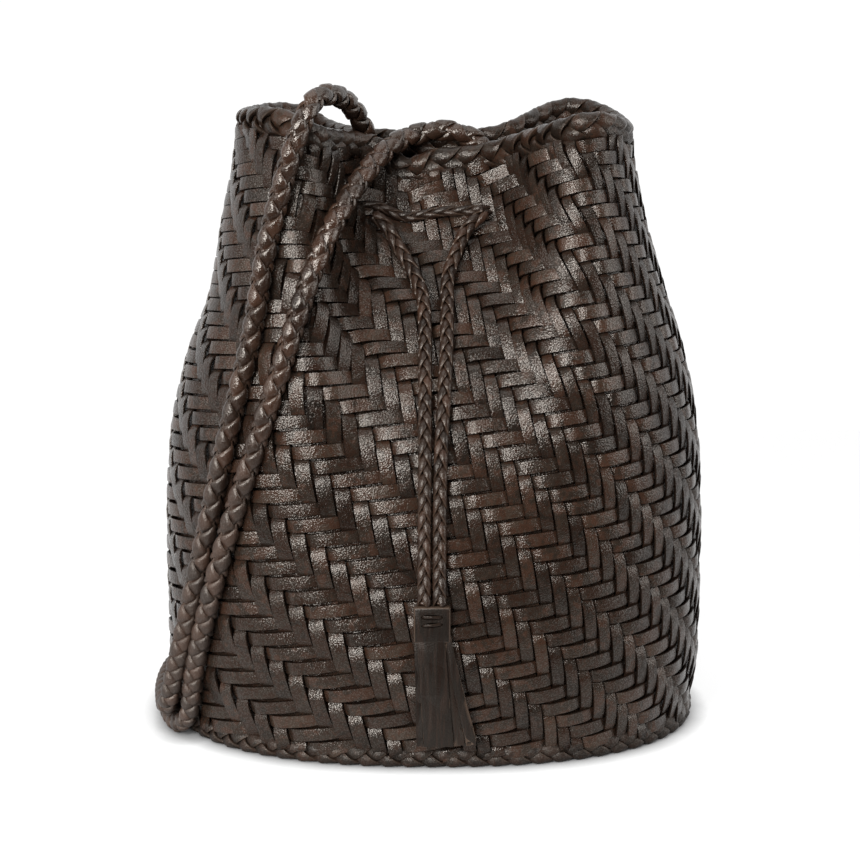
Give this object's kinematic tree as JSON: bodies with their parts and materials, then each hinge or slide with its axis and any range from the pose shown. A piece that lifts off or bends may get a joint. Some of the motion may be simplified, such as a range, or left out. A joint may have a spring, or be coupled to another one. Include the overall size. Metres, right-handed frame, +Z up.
{
  "type": "woven leather bucket bag",
  "caption": "Hand-woven leather bucket bag with plaited rim and foot edges, a drawstring with a fringed tassel pinching the mouth, and a round plaited shoulder strap laid down beside it.",
  "frame": {"origin": "centre of the base, on the surface the bag stands on, without the strap, hanging drawstring ends and tassel", "axes": "+Z up along the bag's height, -Y out of the front with the tassel, +X to the right seen from the front"},
  "size_m": [0.251, 0.2343, 0.2929],
  "materials": {
    "woven_leather": "semi-gloss dark brown strips with fine grain",
    "edge_leather": "semi-gloss dark brown plait",
    "base_leather": "semi-gloss dark brown strips",
    "drawstring_leather": "matt brown plait with rough lighter edges",
    "tassel_leather": "matt dark brown",
    "strap_leather": "semi-gloss brown round plait"
  },
  "bodies": {
    "root": {"base_panel": "base_leather", "base_braid": "edge_leather", "woven_wall": "woven_leather", "rim_braid": "edge_leather", "drawstring_neck": "drawstring_leather", "drawstring_left": "drawstring_leather", "drawstring_right": "drawstring_leather", "tassel": "tassel_leather", "shoulder_strap": "strap_leather"}
  },
  "joints": []
}
